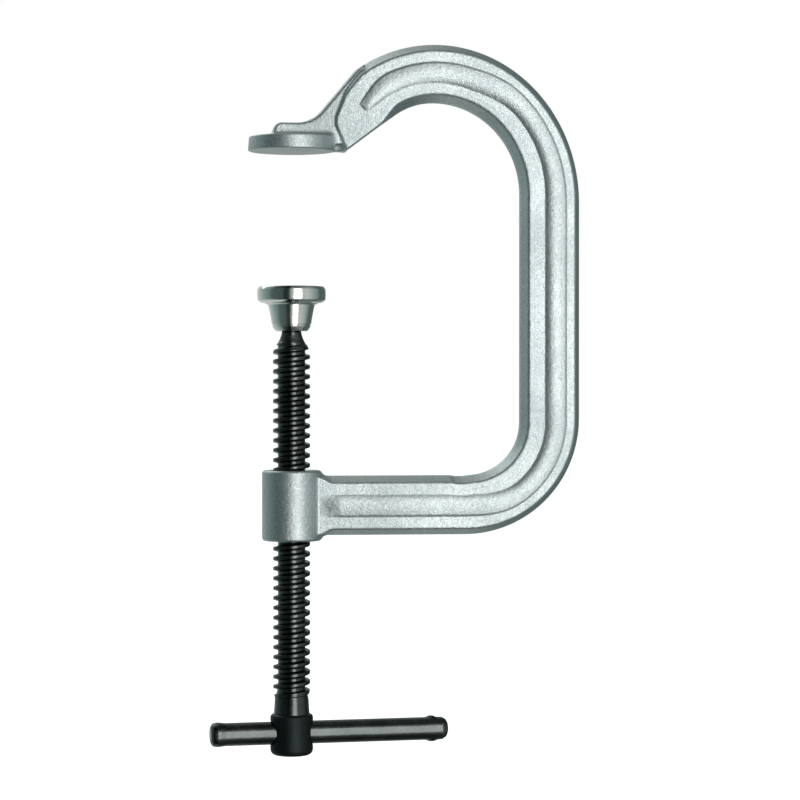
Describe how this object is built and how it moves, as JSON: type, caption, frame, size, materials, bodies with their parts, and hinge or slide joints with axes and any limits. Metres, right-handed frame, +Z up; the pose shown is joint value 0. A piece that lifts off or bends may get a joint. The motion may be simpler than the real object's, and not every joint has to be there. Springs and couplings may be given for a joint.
{
  "type": "c clamp",
  "caption": "Forged deep-throat C clamp: a beaded frame with a round anvil, a coarse screw with a swivel pad, and a sliding T handle.",
  "frame": {"origin": "centre of the anvil's flat face, on the screw's axis", "axes": "+Z up along the screw's axis, from the handle towards the anvil; +X from the screw towards the frame's spine; +Y across the frame's thickness"},
  "size_m": [0.1606, 0.0374, 0.3061],
  "materials": {
    "frame_silver": "blasted forging under bright silver plate",
    "black_oxide": "satin black oxide",
    "nickel": "bright nickel plate",
    "spring_steel": "plain spring steel",
    "bar_black": "smooth black oxide"
  },
  "bodies": {
    "frame": {"c_frame": "frame_silver"},
    "retainer": {"retaining_ring": "spring_steel"},
    "screw": {"screw": "black_oxide"},
    "handle": {"sliding_bar": "bar_black"},
    "pad": {"swivel_pad": "nickel"}
  },
  "joints": [
    {"name": "screw_feed", "type": "slide", "parent": "frame", "child": "retainer", "axis": [0, 0, 1], "range_m": [-0.0586, 0.0562]},
    {"name": "screw_turn", "type": "hinge", "parent": "retainer", "child": "screw", "pos_m": [0, 0, -0.0702], "axis": [0, 0, 1], "range_deg": [-4980, 4776]},
    {"name": "bar_slide", "type": "slide", "parent": "screw", "child": "handle", "axis": [0.9936, 0.1132, 0], "range_m": [-0.05, 0.0215]},
    {"name": "pad_tilt", "type": "hinge", "parent": "retainer", "child": "pad", "pos_m": [0, 0, -0.0702], "axis": [0, 1, 0], "range_deg": [-6, 6]}
  ],
  "couplings": [
    {"joint": "screw_feed", "follows": "screw_turn", "m_per_rad": 0.00067376}
  ]
}
